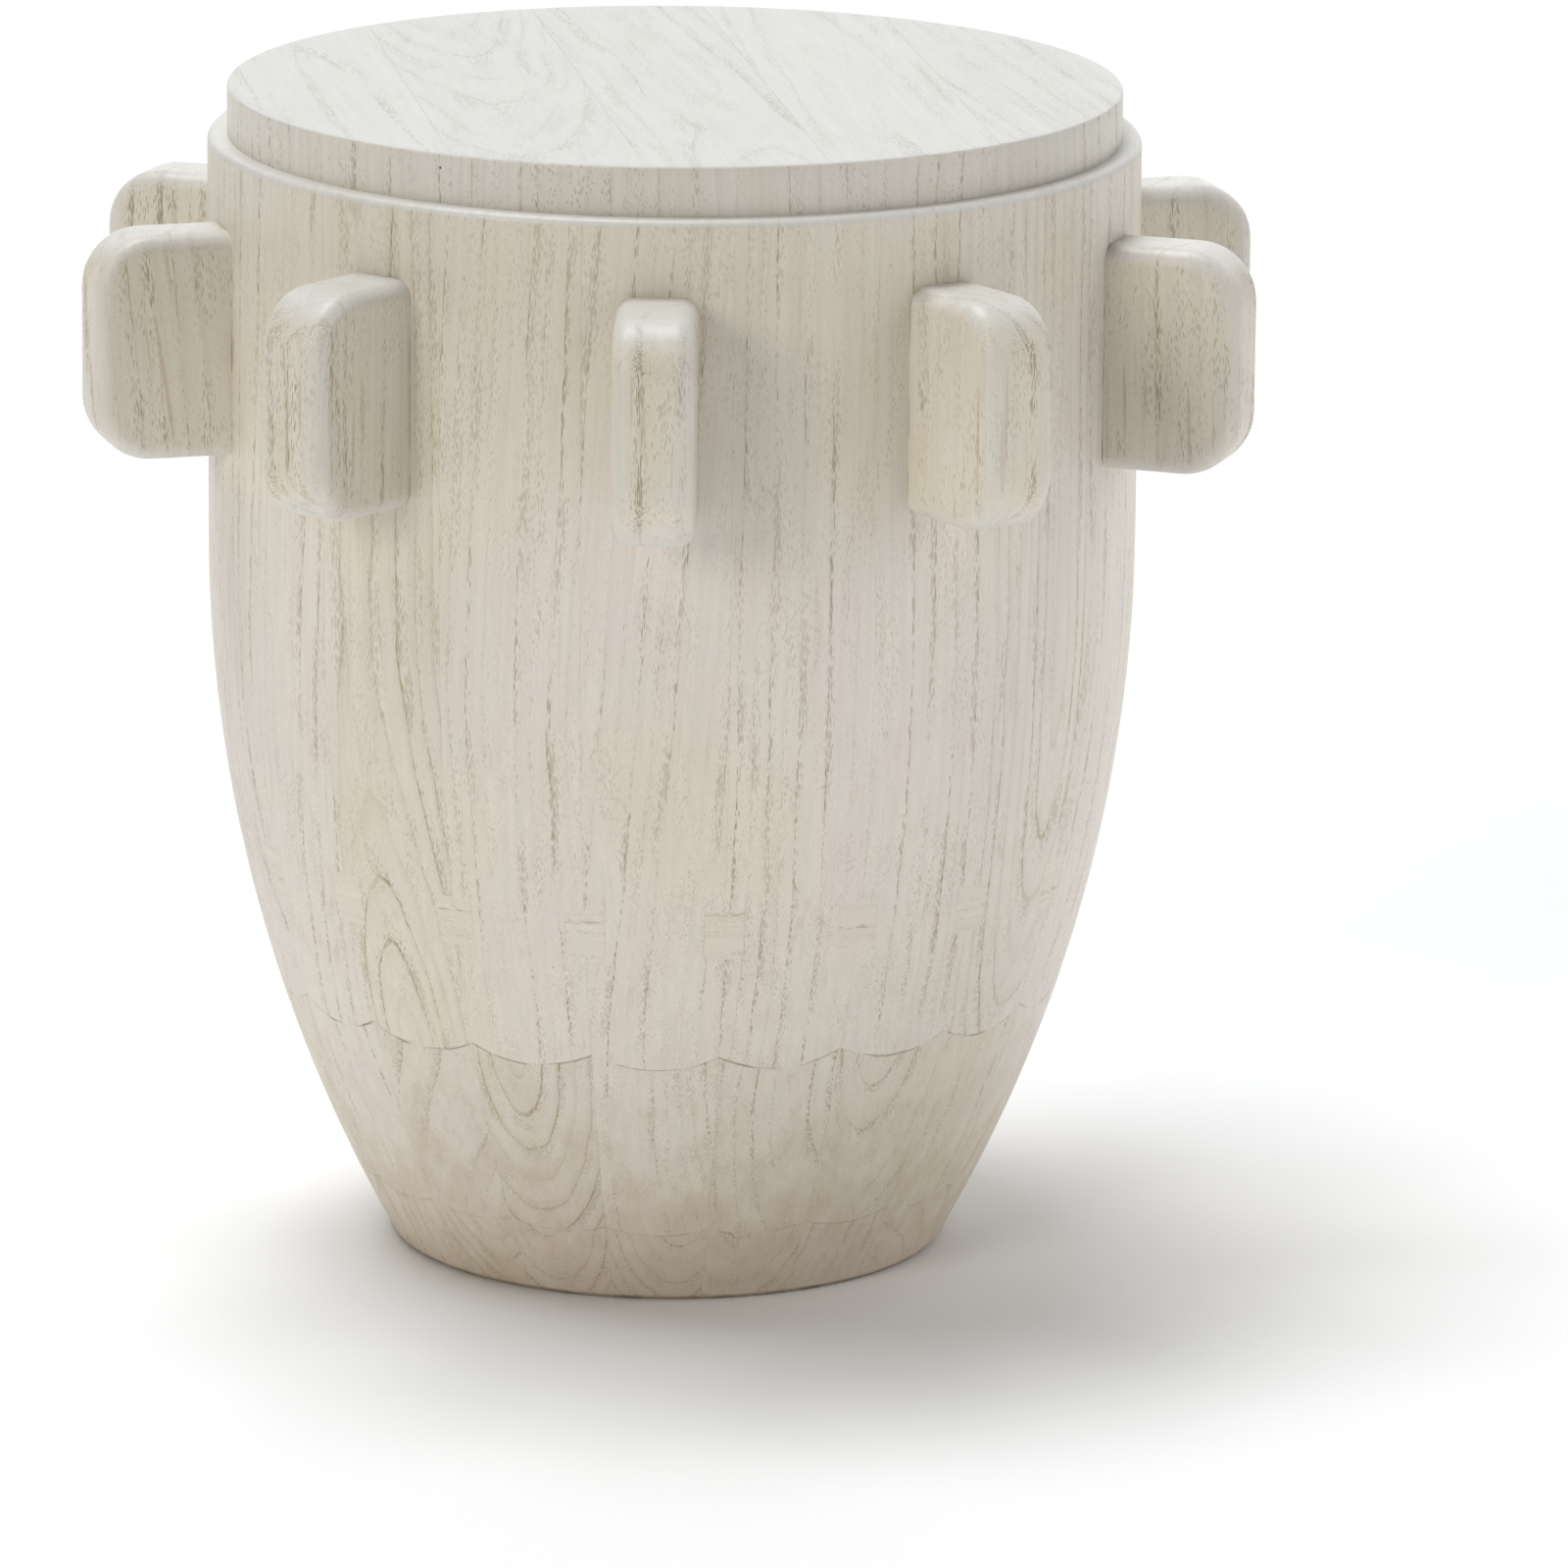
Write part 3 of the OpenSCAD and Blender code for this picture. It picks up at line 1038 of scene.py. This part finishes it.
# %% [markdown]
# ## Inner foot blocks
#
# The innermost layer is what the drum stands on. Its lower edge is bevelled, so the foot doesn't
# splinter and a thin dark line shows on the floor. The model holds all twenty in one node, so they
# are one piece here too, of twenty closed solids that only touch. Those in front show short cups, so
# their hearts lie just outside the turned side.

# %% Make the inner foot blocks
FOOT_BEVEL = 1.5 * MM
SAWN_INNER_BLOCKS = {
    1: dict(heart=(10, 41), lean=(0, 0), ring=4.6),
    2: dict(heart=(-6, 43), lean=(0, 0), ring=5.2),
    19: dict(heart=(12, 46), lean=(0, 0), ring=4.4),
    20: dict(heart=(-5, 42), lean=(0, 0), ring=4.8),
}


def foot_section(side):
    """One radial slice of an inner block, with the bevel that the drum stands inside of."""
    section = block_section(side, INNER_FLAT, LINING_FLAT, INNER_H, FOOT_BEVEL)
    radius = drum_radius(0) - FOOT_BEVEL - eased(side)
    arc = [(radius + FOOT_BEVEL * sin(a), FOOT_BEVEL * (1 - cos(a))) for a in (0, pi / 6, pi / 3)]
    return section[:-1] + [on_flat(INNER_FLAT, side, 0)] + [on_side(reach, side, z) for reach, z in arc]


inner_solid = loft([foot_section(side) for side in slice_angles()])
inner_solids, inner_marks = [], []
for index in range(1, STAVES + 1):
    sawn = Board(**SAWN_INNER_BLOCKS.get(index, {}))
    inner_marks += turned_marks(inner_solid[0], sawn, INNER_FLAT, upper_seam=LINING_FLAT)
    inner_solids.append(turned_copy(inner_solid, turned_to(index, STAVES).to_3x3()))
inner_ring = new_piece("turned_inner_blocks", inner_solids, foot_wash)
mark(inner_ring.data, inner_marks, figure=0.5)
finish_piece(inner_ring, "foot_wood", "inner_foot_blocks")
print("inner foot blocks:", STAVES, "in one piece")

# %% [markdown]
# ## Shape of a fin
#
# A fin is a block with two well-rounded corners and soft edges all round, fitted against the drum. A
# bevelled box would pinch where a big round meets a small one. So the outline is drawn from the side
# and shrunk as the edge rounds over, and the rows are joined up. Two rows inside the cheeks keep the
# shading flat there.

# %% Outline and edge of a fin
FINS = 10
FIN_CORNER = 22 * MM
FIN_EDGE = 6.5 * MM
FIN_RUN = (-1, 0.0, 0.4, 1.2, 4, 10, 17, 23)
fin_low, fin_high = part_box("fin_01")
FIN_TIP = -fin_low.y
FIN_HALF = (fin_high.x - fin_low.x) / 2
FIN_LOW, FIN_HIGH = fin_low.z, fin_high.z
FIN_MID = (FIN_LOW + FIN_HIGH) / 2


def fin_path(inset):
    """The outline of a fin from its side, shrunk by inset: along the bottom to the tip and back on top.
    The drum's end is left open."""
    corner = FIN_CORNER - inset
    near_x = FIN_TIP - FIN_CORNER
    low_z, high_z = FIN_LOW + FIN_CORNER, FIN_HIGH - FIN_CORNER
    arc = [pi / 2 * i / 10 for i in range(11)]
    bottom = [(BELLY_R + d * MM, low_z - corner) for d in FIN_RUN]
    bottom += [(near_x + corner * sin(a), low_z - corner * cos(a)) for a in arc]
    middle = [(near_x + corner, low_z + (high_z - low_z) * t) for t in (0.25, 0.5)]
    top = [(x, FIN_LOW + FIN_HIGH - z) for x, z in bottom + middle[:1]]
    return bottom + middle + top[::-1]


def edge_profile(steps=7):
    """Across a fin: how far the outline is inset and how far it lies from the middle plane."""
    turn = [pi / 2 * i / steps for i in range(steps + 1)]
    cheek = [(FIN_EDGE + 5 * MM, -FIN_HALF), (FIN_EDGE + 2 * MM, -FIN_HALF)]
    soft = [(FIN_EDGE * (1 - sin(a)), -FIN_HALF + FIN_EDGE * (1 - cos(a))) for a in turn]
    flat = [(0.0, (FIN_EDGE - FIN_HALF) * t) for t in (0.5, 0.0)]
    half = cheek + soft + flat
    return half + [(inset, -y) for inset, y in half[-2::-1]]


print("rows across a fin:", len(edge_profile()), "points in each:", len(fin_path(0)))

# %% [markdown]
# ## Joining up a fin
#
# Neighbouring rows are joined by quads. A cheek is closed across, each point to its opposite number,
# and near the tip by triangles round a hub, since a round end has no opposite numbers. The end at the
# drum is closed round a hub too, and the rows there are bent to the drum's curve.

# %% Solid of a fin
FIN_HUB = FIN_TIP - FIN_CORNER + 4 * MM


def fin_solid():
    """Points and faces of a fin that lies along +X."""
    rows = [[(x, y, z) for x, z in fin_path(inset)] for inset, y in edge_profile()]
    width, length, straight = len(rows), len(rows[0]), len(FIN_RUN)
    points = []
    for x, y, z in sum(rows, []):
        if x <= BELLY_R + 0.01 * MM:
            x = sqrt(BELLY_R ** 2 - y ** 2) + (x - BELLY_R)
        points.append((x, y, z))
    faces = quads(width, length, closed=False)
    for start in (0, (width - 1) * length):
        end = start + length - 1
        faces += [(start + j, start + j + 1, end - 1 - j, end - j) for j in range(straight)]
        around = [*range(start + straight, end + 1 - straight)]
        close_round_hub(points, faces, around, (FIN_HUB, points[start][1], FIN_MID))
    low_ends, high_ends = (range(j, width * length, length) for j in (0, length - 1))
    close_round_hub(points, faces, [*low_ends, *high_ends[::-1]], (BELLY_R - MM, 0, FIN_MID))
    return points, faces


one_fin = fin_solid()
print("a fin has", len(one_fin[0]), "points and", len(one_fin[1]), "faces")

# %% [markdown]
# ## Where the coat and a painted sheen lie thick on a fin
#
# On the real fins the rounded edges and both ends are smooth and white, and the grain shows only on
# the cheeks and down the middle of the tip. The stain gathers on the rounds, and the light catches
# them, so the coat laid on here is partly a painted sheen. How round the surface is at a point follows
# from two depths, below the outline and below the cheek: on the edge both are small.

# %% Coat and painted sheen of a fin
EDGE_COAT_AND_SHEEN, EDGE_DEPTHS = 0.3, (8 * MM, 4 * MM)
END_COAT_AND_SHEEN, END_REACH, END_DEPTH = 0.6, (9 * MM, 17 * MM), 5 * MM


def share(value, start, end):
    """Goes evenly from 0 to 1 as value goes from start to end."""
    return min(1.0, max(0.0, (value - start) / (end - start)))


def fin_coat_and_sheen(x, y, z):
    """How thick the coat and its painted sheen lie, from 0 to 1, at a point of a fin that lies along +X.
    """
    over_tip = max(0.0, x - FIN_TIP + FIN_CORNER)
    over_end = max(0.0, abs(z - FIN_MID) - (FIN_HIGH - FIN_LOW) / 2 + FIN_CORNER)
    below_outline = FIN_CORNER - hypot(over_tip, over_end)
    below_cheek = FIN_HALF - abs(y)
    edge = share(max(below_outline, below_cheek), *EDGE_DEPTHS)
    end = share(over_end, *END_REACH) if below_outline < END_DEPTH else 0.0
    return max(EDGE_COAT_AND_SHEEN * edge, END_COAT_AND_SHEEN * end)


coat_and_sheens = [fin_coat_and_sheen(*point) for point in one_fin[0]]
print("mean cover of a fin's points:", round(sum(coat_and_sheens) / len(coat_and_sheens), 2))

# %% [markdown]
# ## The fins
#
# The grain stands upright in every fin, as in the staves. The front ones are sawn to match the photo:
# the far left one has a few long lines that lean outwards at the top, and the others fine dashes.

# %% Make the fins
SAWN_FINS = {
    1: dict(heart=(41, 44), lean=(0, 0), ring=15.0, tint=0.0, shade=0.3),
    # Fins 2 and 4 get a lighter shade than chance would give: painted light on their cheeks.
    2: dict(heart=(60, 6), lean=(0.01, 0.0), ring=3.6, tint=0.9, shade=0.6),
    3: dict(heart=(34, -60), lean=(0.0, 0.02), ring=4.0, tint=0.6, shade=-0.4),
    4: dict(heart=(48, -40), ring=5.0, tint=0.2, shade=2.0),
    8: dict(heart=(30, -70), ring=6.0, tint=0.6, shade=1.0),
    9: dict(heart=(26, -66), lean=(0.0, -0.10), ring=8.5, tint=0.5, shade=0.3, figure=0.25),
    10: dict(heart=(-40, -50), lean=(0.0, 0.02), ring=3.6, tint=0.3, shade=0.2),
}
for index in range(1, FINS + 1):
    fin = new_piece(f"rounded_fin_{index:02d}", [one_fin], fin_wash)
    sawn = Board(**SAWN_FINS.get(index, {}))
    fin_marks = []
    for (x, y, z), coat_and_sheen in zip(rows_of(fin.data.vertices, "co"), coat_and_sheens):
        log = sawn.place(y / MM, (x - BELLY_R) / MM, z / MM)
        seam = max(0.0, hypot(x, y) - BELLY_R)
        # The coat value carries the thick coat and its painted sheen on the fin's rounds.
        fin_marks.append((log, (seam / MM, FAR, coat_and_sheen if seam > MM else 0), sawn.look()))
    mark(fin.data, fin_marks, sawn.figure)
    fin.data.transform(turned_to(index, FINS))
    finish_piece(fin, "fin_wood", f"fin_{index:02d}")
print("fins:", FINS, "reaching", round(FIN_TIP, 4), "m from the middle")

# %% [markdown]
# ## Shape of the top
#
# Five boards are glued edge to edge, turned to a disc with a spigot below, and set on the rim. Here
# the whole disc is turned first, as rings of points, and then sawn along the glue lines, so the
# outline stays one true circle over all five.

# %% Turn the top
GRAIN_TURN = radians(10)
TOP_EDGE = 1.0 * MM
TOP_SLICES = 180
TOP_RINGS = 34
SPIGOT_R = STAVE_FLAT - 0.5 * MM
UNDER_R = 80 * MM


def top_profile():
    """The turned outline of the top, from its middle on top round to its middle underneath."""
    corner = TOP_R - TOP_EDGE
    outline = [(corner * i / TOP_RINGS, TOP_Z) for i in range(1, TOP_RINGS + 1)]
    for a in (radians(22.5 * i) for i in range(1, 5)):
        outline.append((corner + TOP_EDGE * sin(a), TOP_Z - TOP_EDGE + TOP_EDGE * cos(a)))
    outline += [(TOP_R, RIM_Z + (TOP_Z - TOP_EDGE - RIM_Z) * t) for t in (0.75, 0.5, 0.25, 0.0)]
    spigot = [(SPIGOT_R, RIM_Z), (SPIGOT_R, SPIGOT_Z + MM), (SPIGOT_R - MM, SPIGOT_Z)]
    return outline + spigot + [(UNDER_R, SPIGOT_Z)]


def turned_top():
    """Points and faces of the whole top, with its grain along Y before it is turned to its own angle."""
    profile, angles = top_profile(), [2 * pi * i / TOP_SLICES for i in range(TOP_SLICES)]
    points = [(r * cos(a), r * sin(a), z) for r, z in profile for a in angles]
    faces = quads(len(profile), TOP_SLICES, closed=True)
    for start, z in ((0, TOP_Z), (len(points) - TOP_SLICES, SPIGOT_Z)):
        close_round_hub(points, faces, [*range(start, start + TOP_SLICES)], (0, 0, z))
    return points, faces


print("points in the top's outline:", len(top_profile()))

# %% [markdown]
# ## Sawing the top
#
# A board is what is left between two planes. Two more cuts, a hair beside each glue line, keep both
# sides, and the points on the glue line are then lowered, which leaves a fine groove on top.

# %% Saw one board out of the top
BOARDS = 5
BOARD_W = 2 * TOP_R / BOARDS
GLUE_GROOVE = 0.12 * MM
TINY = 0.001 * MM


def saw(work, x, keep_above=None):
    """Cuts the bmesh along a plane across X. Keeps both sides, or one, with the cut closed."""
    whole = work.verts[:] + work.edges[:] + work.faces[:]
    drop = {"clear_inner": keep_above is True, "clear_outer": keep_above is False}
    cut = bmesh.ops.bisect_plane(work, geom=whole, plane_co=(x, 0, 0), plane_no=(1, 0, 0), **drop)
    if keep_above is not None:
        edges = [e for e in cut["geom_cut"] if isinstance(e, bmesh.types.BMEdge)]
        bmesh.ops.contextual_create(work, geom=edges)


def sawn_board(index):
    """One board of the top as a piece, its middle, and where its glue lines lie."""
    near, far = -TOP_R + (index - 1) * BOARD_W, -TOP_R + index * BOARD_W
    glue = [x for x in (near, far) if abs(x) < TOP_R - MM]
    work = build([turned_top()])
    for x, is_near in ((near, True), (far, False)):
        if x in glue:
            saw(work, x, keep_above=is_near)
            saw(work, x + GLUE_GROOVE if is_near else x - GLUE_GROOVE)
    for v in work.verts:
        if v.co.z > TOP_Z - TINY and any(abs(v.co.x - x) < TINY for x in glue):
            v.co.z -= GLUE_GROOVE
    return show(f"turned_top_board_{index}", work, top_wash), (near + far) / 2, glue


print("a board of the top is", round(BOARD_W / MM, 1), "mm wide")

# %% [markdown]
# ## Figure of the top
#
# The photo shows a flat-sawn figure: arches, a round eye and wavy lines. Arches come from a heart
# below the board that leans along it. The eye and the waves come from knots under the surface, which
# push the rings up round them. So a knot here is a smooth hill that is added to the depth.

# %% Sawing list and knots of the top
SAWN_TOP = {
    1: dict(heart=(9, -18), lean=(0.03, 0.03), ring=6.6, figure=0.2),
    2: dict(heart=(-5, -42.3), lean=(0.0, -0.12), ring=5.83, figure=0.4),
    3: dict(heart=(4, -30), lean=(0.05, 0.02), ring=6.5, figure=0.4),
    4: dict(heart=(-3, -23.8), lean=(0.0, 0.038), ring=6.5, figure=0.4),
    5: dict(heart=(44, -25), lean=(0.09, 0.0), ring=6.2, figure=0.2),
}
KNOTS = [(0, -92, 30, 62, 9), (-22, 28, 15, 60, 6), (-50, 22, 10, 22, -5), (-82, -96, 18, 40, -5)]


def knot_lift(x, y):
    """How far the knots push the rings up here, in millimetres. Each knot has a place, a half-width, a
    half-length and a lift."""
    hills = (lift * exp(-(((x - a) / w) ** 2) - ((y - b) / h) ** 2) for a, b, w, h, lift in KNOTS)
    return sum(hills)


print("knots under the top:", len(KNOTS), "with a lift of up to", round(knot_lift(0, -92), 1), "mm")

# %% [markdown]
# ## Grain round the side of the top
#
# The same solid grain would show end grain round most of the disc's side. The photo shows short
# upright streaks there, so the side seems to be lipped with upright wood. A vertex on the edge would
# need two places in the log, one for each grain. Marks can also sit on face corners, so the faces of
# the side get corner marks of their own.

# %% Upright grain for the side
SIDE_DEEP = 40
SIDE_BAND = 0.4


def side_wave(turn):
    """How far the side's grain sways, in millimetres."""
    return 5 * sin(turn * 8.3) + 2 * sin(turn * 21.0)


def stand_the_side_grain(mesh, sawn):
    """Moves the log marks to the face corners, and gives those of the disc's side an upright grain."""
    points, top_r = rows_of(mesh.vertices, "co") / MM, TOP_R / MM
    plain = rows_of(mesh.attributes["log"].data, "vector")
    rows = np.zeros((len(mesh.loops), 3), np.float32)
    for face in mesh.polygons:
        on_edge = all(hypot(*points[v][:2]) > top_r - SIDE_BAND for v in face.vertices)
        middle = atan2(face.center.y, face.center.x)
        for corner, v in zip(face.loop_indices, face.vertices):
            rows[corner] = plain[v]
            if on_edge:
                x, y, z = points[v]
                turn = middle + (atan2(y, x) - middle + pi) % (2 * pi) - pi
                rows[corner] = sawn.place(top_r * turn + side_wave(turn), SIDE_DEEP, z)
    mesh.attributes.remove(mesh.attributes["log"])
    mesh.attributes.new("log", "FLOAT_VECTOR", "CORNER").data.foreach_set("vector", rows.ravel())


print("the side of the top is", round((TOP_Z - RIM_Z) / MM, 1), "mm high")

# %% [markdown]
# ## The pin hole
#
# A tiny dark dot sits in the disc's side, a little left of the middle: the hole of a pin that held
# the blank on the lathe. A painted dot would be flat. So it is drilled, with a thin rod and the same
# boolean as the grooves, and its inside gets painted shade in the dark colour of the glue lines.

# %% Drill for the pin hole
PIN_R = 0.5 * MM
PIN_DEEP = 3 * MM
PIN_X, PIN_Y = -81.0 * MM, -149.5 * MM
PIN_TURN = atan2(PIN_Y, PIN_X) - GRAIN_TURN
PIN_Z = TOP_Z - 5.3 * MM


def pin_drill():
    """A thin rod that stands in the disc's side."""
    ring = [(PIN_R * cos(a), PIN_Z + PIN_R * sin(a)) for a in (pi * i / 6 for i in range(12))]
    rod = loft([[(reach, y, z) for y, z in ring] for reach in (TOP_R - PIN_DEEP, TOP_R + MM)])
    return new_piece("pin_drill", [turned_copy(rod, Matrix.Rotation(PIN_TURN, 3, "Z"))], top_wash)


def by_the_pin(x, y, z):
    """Whether a point lies inside the pin hole."""
    beside = hypot(x * sin(PIN_TURN) - y * cos(PIN_TURN), z - PIN_Z)
    return beside < PIN_R * 1.1 and TOP_R - PIN_DEEP - MM < hypot(x, y) < TOP_R - 0.1 * MM


print("pin hole", 2 * PIN_R / MM, "mm wide,", round(PIN_Z, 4), "m above the floor")

# %% [markdown]
# ## The top
#
# Now the boards are made one by one. The coat lies thick on the flat face, where it hides half of the
# grain and gives a cool painted sheen, and thin round the side. With one thickness for both, the side
# would lose its streaks. The whole top is also painted darker than the other wood, as shade against
# the strong light from above, and its side is painted a few steps lighter again.

# %% Make the top boards
FACE_COAT_AND_SHEEN = 0.6
SIDE_COAT_AND_SHEEN = 0.3
SIDE_PAINTED_LIGHT = 3
for index in range(1, BOARDS + 1):
    piece, middle, glue = sawn_board(index)
    if index == 1:
        carve(piece, pin_drill())
    sawn = Board(**SAWN_TOP[index], tint=draw.uniform(-0.3, 0.3), shade=draw.uniform(-0.4, 0.4))
    top_marks = []
    for x, y, z in rows_of(piece.data.vertices, "co"):
        log = sawn.place((x - middle) / MM, (z - TOP_Z) / MM + knot_lift(x / MM, y / MM), y / MM)
        gap = min([abs(x - line) for line in glue]) / MM
        # Inside the pin hole the seam mark is zero, so the dark dust colour paints shade into the hole.
        seam = 0 if by_the_pin(x, y, z) else FAR
        tint, shade, ring = sawn.look()
        round_the_side = z < TOP_Z - 0.3 * MM and hypot(x, y) > SPIGOT_R
        # The face gets the thick coat with a painted sheen; the side gets a thin coat and is painted
        # lighter.
        coat_and_sheen, shade = (SIDE_COAT_AND_SHEEN, shade + SIDE_PAINTED_LIGHT) if round_the_side else (FACE_COAT_AND_SHEEN, shade)
        top_marks.append((log, (seam, gap, coat_and_sheen), (tint, shade, ring)))
    mark(piece.data, top_marks, sawn.figure)
    stand_the_side_grain(piece.data, sawn)
    piece.data.transform(Matrix.Rotation(GRAIN_TURN, 4, "Z"))
    finish_piece(piece, "top_wood", f"top_board_{index}")
print("top boards:", BOARDS)

# %% [markdown]
# ## The dowels
#
# The dowels are hidden in their holes, so the shapes from the model are good enough and stay. They
# are the only bare wood on the stool: plain beech, with a fine fibre.

# %% Dress the dowels
dowel_beech, shader = new_material("dowel_beech")
spot = Field(add(shader.id_data, "ShaderNodeTexCoord").outputs["Object"])
fibre = cloud(spot, 1.2 * MM, 5 * MM, 3.0)
feed(shader.inputs["Base Color"], blend_colour(fibre, (0.55, 0.38, 0.22), (0.68, 0.52, 0.34)))
shader.inputs["Roughness"].default_value = 0.7
roughen(shader, fibre, 0.4)
for name in ("fin_dowels", "top_dowels"):
    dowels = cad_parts[name]
    dowels.data.materials.clear()
    dowels.data.materials.append(dowel_beech)
    print("dressed", name)

# %% [markdown]
# ## Sizes and finish
#
# The dressed stool has to fill the same box as the model. Both boxes are printed.

# %% Print both boxes
visual_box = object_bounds()
for label, box in (("model", cad_box), ("dressed", visual_box)):
    print(label, [[round(n, 4) for n in v] for v in box])
